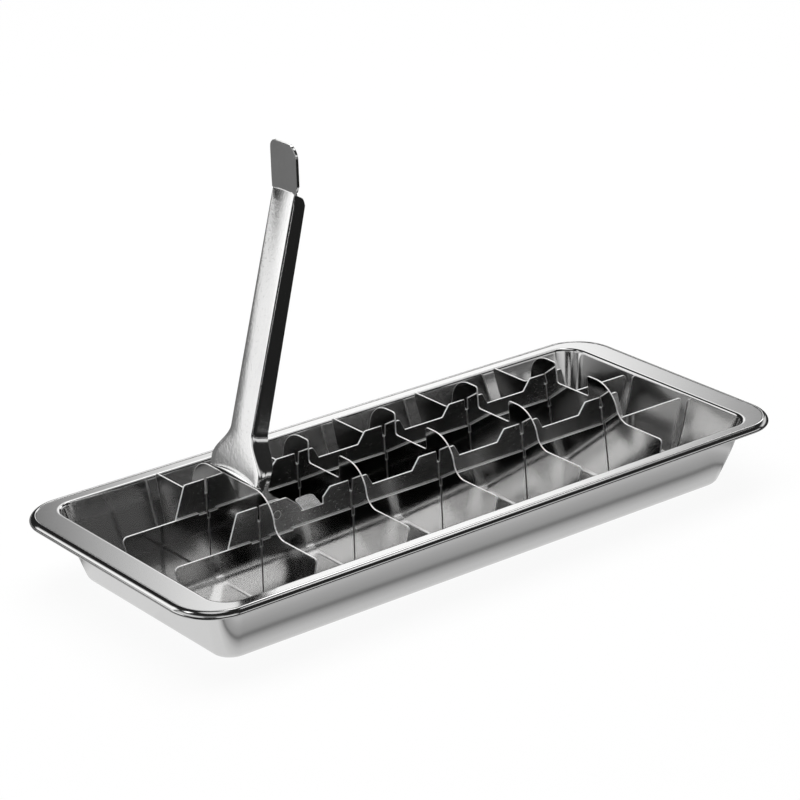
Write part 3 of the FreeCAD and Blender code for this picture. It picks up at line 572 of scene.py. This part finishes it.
shell = finished("lever_shell", lever_mesh, lever_steel, True)
thick = shell.modifiers.new("sheet", "SOLIDIFY")
thick.thickness = LEVER_SHEET * MM
thick.offset = -1.0
thick.use_even_offset = True
round_edges = shell.modifiers.new("tumbled", "BEVEL")
round_edges.width = EDGE_ROUND * MM
round_edges.use_clamp_overlap = False
round_edges.segments = 3
round_edges.limit_method = "ANGLE"
round_edges.angle_limit = math.radians(SHARP_ANGLE)
round_edges.harden_normals = True
lever_data = bpy.data.meshes.new_from_object(shell.evaluated_get(bpy.context.evaluated_depsgraph_get()))
bpy.data.objects.remove(shell)
lever = finished("lever_channel", lever_data, lever_steel, True)
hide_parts("lever")
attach(lever, "lever")

# Pivot rivets: two soft steel rivets that pin the lever's ears to the slide bars.
# Each has a low head inside the ear, and is flush with the bar's outer face.
RIVET_ROUND = 0.1
rivet_steel = steel("rivet_turned_steel", 0.6, 0.16, (900.0, 900.0, 900.0), 0.004, 0.02, 0.05, 0.1)
for side in ("near", "far"):
    eased("pivot_rivet_" + side, "rivet_" + side, "bars", rivet_steel, RIVET_ROUND)

# Floor: a wide white board. A matt black card, seen only in the metal, lies on it round the tray.
# Beside the pan the card is partly clear, a pale band with graded painted shade, and behind the tray it
# reaches further.
scene = bpy.context.scene
FLOOR_RADIUS = 9.0
ROUND_STEPS = 96
BOARD_WHITE = (0.9, 0.9, 0.9, 1)
BOARD_GLOW = 0.93
CARD_RADIUS = 3.5
CARD_HEIGHT = 0.3
floor_mesh = bmesh.new()
bmesh.ops.create_circle(floor_mesh, cap_ends=True, segments=ROUND_STEPS, radius=FLOOR_RADIUS)
board = bpy.data.materials.new("white_board")
board.use_nodes = True
tree = board.node_tree
tree.nodes.clear()
seen = Field(tree).node("ShaderNodeLightPath", output="Is Camera Ray")
path = seen.socket.node.outputs
for ray in ("Is Glossy Ray", "Is Transmission Ray"):
    seen = seen.math("MAXIMUM", Field(tree, path[ray]))
paper = seen.node("ShaderNodeBsdfDiffuse", inputs={"Color": BOARD_WHITE})
glow = seen.node("ShaderNodeEmission", inputs={"Strength": 1.0})
surface = seen.node("ShaderNodeMixShader", inputs={0: seen * BOARD_GLOW, 1: paper, 2: glow})
surface.node("ShaderNodeOutputMaterial", inputs={"Surface": surface})
floor = finished("floor", floor_mesh, board, False)

card_mesh = bmesh.new()
bmesh.ops.create_circle(card_mesh, cap_ends=True, segments=ROUND_STEPS, radius=CARD_RADIUS)
for corner in card_mesh.verts:
    corner.co.z = CARD_HEIGHT * MM
black = bpy.data.materials.new("black_card")
black.use_nodes = True
tree = black.node_tree
tree.nodes.clear()
place = Field(tree).node("ShaderNodeTexCoord", output="Object")
across = place.node("ShaderNodeSeparateXYZ", inputs={"Vector": place}, output="X")
along_y = Field(tree, across.socket.node.outputs["Y"])
LEFT_EDGE = -0.142
RIGHT_EDGE = 0.124
NEAR_EDGE = -0.0457
FAR_EDGE = 0.0457
STRIP_NEAR = 0.08
STRIP_LEFT = 0.05
NEAR_SHADE_STOPS = [(0.0, 0.15), (0.05, 0.3), (0.08, 0.5), (0.106, 0.8), (0.13, 0.6), (0.19, 0.5), (0.24, 0.36),
              (0.31, 0.6), (0.44, 0.4), (0.85, 0.3), (1.0, 1.0)]
LEFT_SHADE_STOPS = [(0.0, 0.75), (0.2, 0.7), (0.35, 0.6), (0.6, 0.5), (0.75, 0.5), (0.9, 1.0)]
LEFT_FADE = (0.0, 0.004)
CORNER_SHADE_FADE = (0.001, 0.007)
CARD_REACH = 0.65
REACH_BEHIND = 2.6
REACH_CURVE = 2.4
REACH_FADE = (0.8, 1.2)
BEHIND_FROM = 137
BEHIND_OVER = 12
CLOTH_DARK = 0.015
CLOTH_LIGHTER = 0.15
LIGHTER_FROM = (60, 110)
beyond_x = (LEFT_EDGE - across).math("MAXIMUM", across - RIGHT_EDGE).math("MAXIMUM", 0.0)
beyond_y = (NEAR_EDGE - along_y).math("MAXIMUM", along_y - FAR_EDGE).math("MAXIMUM", 0.0)
gap = (beyond_x * beyond_x + beyond_y * beyond_y).math("SQRT")
reach = (across * across + along_y * along_y).math("SQRT")
bearing = along_y.math("ARCTAN2", across)
behind = (math.radians(BEHIND_FROM) - bearing) / math.radians(BEHIND_OVER)
behind = behind.math("MAXIMUM", 0.0).math("MINIMUM", 1.0)
edge = CARD_REACH + REACH_BEHIND * behind.math("POWER", REACH_CURVE)
# The steps beside the near side and the left end are painted shade of the floor beside the pan, seen in the
# metal.
near_painted_shade = gap.node("ShaderNodeValToRGB", {"stops": NEAR_SHADE_STOPS}, {"Fac": gap / STRIP_NEAR})
left_painted_shade = gap.node("ShaderNodeValToRGB", {"stops": LEFT_SHADE_STOPS}, {"Fac": gap / STRIP_LEFT})
left = (LEFT_EDGE - across).ramp(*LEFT_FADE)
strip = near_painted_shade + left * (left_painted_shade - near_painted_shade)
# Off the near left corner the card is dark: painted shade under the flange's overhang, seen in the metal.
corner_painted_shade = (LEFT_EDGE - across).ramp(*CORNER_SHADE_FADE) * (NEAR_EDGE - along_y).ramp(*CORNER_SHADE_FADE)
strip = strip.math("MAXIMUM", corner_painted_shade)
outer = 1 - (reach / edge).ramp(*REACH_FADE)
shade = CLOTH_DARK + CLOTH_LIGHTER * bearing.ramp(*(math.radians(turn) for turn in LIGHTER_FROM))
grey = place.node("ShaderNodeCombineColor", inputs={"Red": shade, "Green": shade, "Blue": shade})
cloth = place.node("ShaderNodeEmission", inputs={"Color": grey, "Strength": 1.0})
clear = place.node("ShaderNodeBsdfTransparent")
surface = place.node("ShaderNodeMixShader", inputs={0: strip * outer, 1: clear, 2: cloth})
surface.node("ShaderNodeOutputMaterial", inputs={"Surface": surface})
card = finished("card", card_mesh, black, False)
card.visible_camera = False
card.visible_diffuse = False
card.visible_shadow = False
card.visible_transmission = False

# Room: a dark room with soft white panels round the tray and one right above it, as for a catalogue.
# The narrow one behind the tray lights the flange. A lamp overhead lights the floor and the cut edges.
# Each panel has a bearing, a height, half a width, half a height and a soft edge in degrees, and a strength.
PANELS = [
    (51, 28, 6.3, 13, 4.5, 1.3),
    (35, 53, 11, 11, 4, 2.4),
    (153, 54, 9, 6, 4, 2.4),
    (150, 0, 19, 12, 4, 1.15),
    (128, 26, 10, 14, 5, 1.3),
    (-130, 30, 30, 10, 6, 0.25),
    (-48, 12, 18, 6, 3, 0.7),
    (-15, 53, 16, 4, 3, 1.2),
    (34, 29, 8, 5, 3, 2.2),
    (180, 24, 34, 11, 8, 0.8),
    (-95, 20, 24, 10, 6, 0.8),
    (4, 18, 22, 8, 5, 0.8),
]
CEILING_FROM = (72, 78)
CEILING_LIGHT = 0.8
ROOM_LIGHT = 0.02
OVERHEAD_WATTS = 30
OVERHEAD_SIZE = (2.0, 1.2)
OVERHEAD_AT = (0.1, 0.3, 1.6)
world = bpy.data.worlds.new("room")
scene.world = world
world.use_nodes = True
tree = world.node_tree
tree.nodes.clear()
toward = Field(tree).node("ShaderNodeTexCoord", output="Generated")


def panel(turn, rise, half_turn, half_rise, soft, radiance):
    """How much light comes from a soft panel at a bearing from +X and a height, in degrees."""
    parts = toward.node("ShaderNodeSeparateXYZ", inputs={"Vector": toward}, output="X").socket.node.outputs
    east, north, up = (Field(tree, parts[axis]) for axis in "XYZ")
    a = math.radians(turn)
    facing = east * math.cos(a) + north * math.sin(a)
    sideways = north * math.cos(a) - east * math.sin(a)
    bearing_off = sideways.math("ARCTAN2", facing).math("ABSOLUTE")
    height_off = (up.math("ARCSINE") - math.radians(rise)).math("ABSOLUTE")
    soft = math.radians(soft)
    half_turn = math.radians(half_turn)
    half_rise = math.radians(half_rise)
    wide = 1 - bearing_off.ramp(half_turn - soft, half_turn + soft)
    tall = 1 - height_off.ramp(half_rise - soft, half_rise + soft)
    return wide * tall * radiance


rise = toward.node("ShaderNodeSeparateXYZ", inputs={"Vector": toward}, output="Z")
light = CEILING_LIGHT * rise.ramp(*(math.sin(math.radians(height)) for height in CEILING_FROM))
for numbers in PANELS:
    light = light.math("MAXIMUM", panel(*numbers))
light = light + ROOM_LIGHT
back_drop = light.node("ShaderNodeBackground", inputs={"Color": (1, 1, 1, 1), "Strength": light})
back_drop.node("ShaderNodeOutputWorld", inputs={"Surface": back_drop})

overhead = bpy.data.lights.new("overhead", "AREA")
overhead.shape = "RECTANGLE"
overhead.size, overhead.size_y = OVERHEAD_SIZE
overhead.energy = OVERHEAD_WATTS
overhead_lamp = bpy.data.objects.new("overhead", overhead)
scene.collection.objects.link(overhead_lamp)
overhead_lamp.location = OVERHEAD_AT
overhead_lamp.visible_camera = False
overhead_lamp.visible_glossy = False

# Camera: a long lens, well above and to the left of the tray's near side, as in the photograph.
# It aims at the middle of the flange's plane. The small shift is the photograph's framing.
CAMERA_TURN = math.radians(-39.01)
CAMERA_FROM = Vector((-630.3, -778.0, 432.1)) * MM
CAMERA_ROLL = math.radians(-0.5)
FOCAL_PIXELS = 2821
FRAME_PIXELS = 800
AIM_PIXEL = (413.0, 462.1)
forward = -CAMERA_FROM.normalized()
level = Vector((math.cos(CAMERA_TURN), math.sin(CAMERA_TURN), 0))
right = math.cos(CAMERA_ROLL) * level + math.sin(CAMERA_ROLL) * level.cross(forward)
right = (right - right.dot(forward) * forward).normalized()
above = right.cross(forward)
lens = bpy.data.cameras.new("camera")
lens.sensor_width = 36
lens.lens = lens.sensor_width * FOCAL_PIXELS / FRAME_PIXELS
lens.shift_x = (FRAME_PIXELS / 2 - AIM_PIXEL[0]) / FRAME_PIXELS
lens.shift_y = (AIM_PIXEL[1] - FRAME_PIXELS / 2) / FRAME_PIXELS
lens.clip_start = 0.05
lens.clip_end = 50
camera = bpy.data.objects.new("camera", lens)
scene.collection.objects.link(camera)
placing = Matrix((right, above, -forward)).transposed().to_4x4()
placing.translation = CAMERA_FROM + Vector((0, 0, FLANGE_TOP * MM))
camera.matrix_world = placing
scene.camera = camera
scene.view_settings.view_transform = "Standard"
